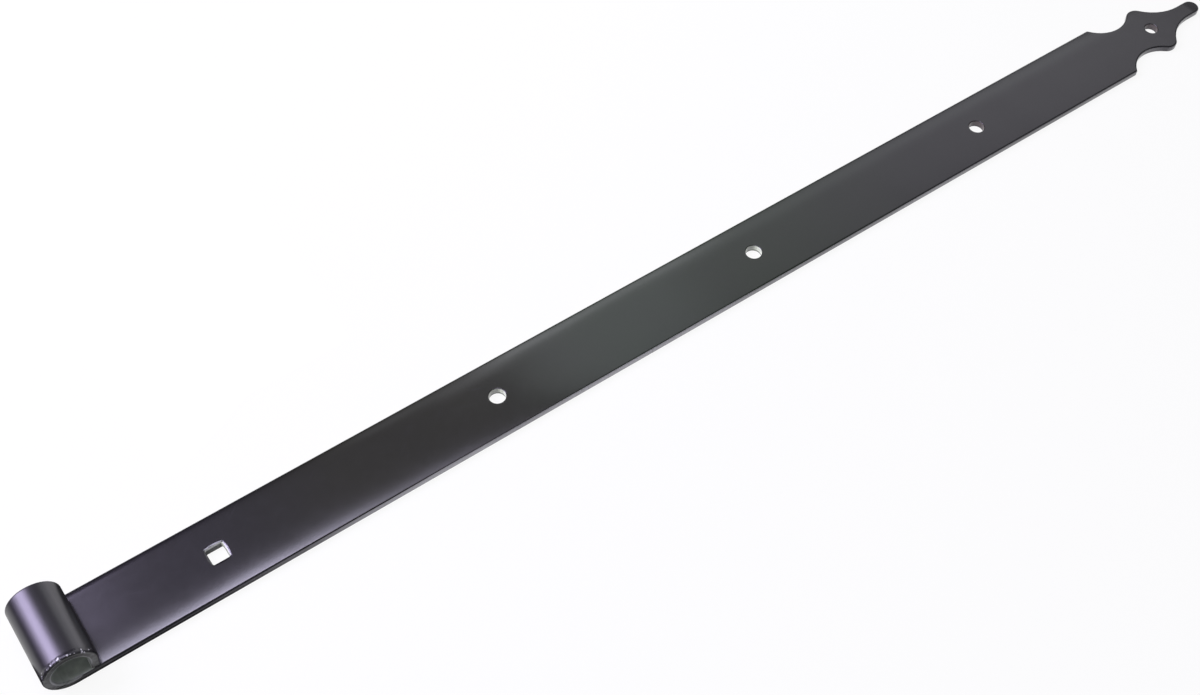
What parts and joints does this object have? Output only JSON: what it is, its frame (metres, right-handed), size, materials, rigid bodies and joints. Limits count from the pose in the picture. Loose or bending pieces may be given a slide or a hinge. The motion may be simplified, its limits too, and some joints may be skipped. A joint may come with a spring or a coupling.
{
  "type": "hinge band",
  "caption": "Flat steel band of a hook and band gate hinge: a rolled eye that drops on the hook's pin, holes for bolts along it, and a spear point at the far end.",
  "frame": {"origin": "centre of the eye, half way along its bore", "axes": "+X along the strap from the eye to the point, +Y along the bore of the eye, +Z out of the face that the eye is rolled up on"},
  "size_m": [0.9155, 0.05, 0.031],
  "materials": {
    "coated_steel": "satin"
  },
  "bodies": {
    "root": {"hinge_band": "coated_steel"}
  },
  "joints": []
}
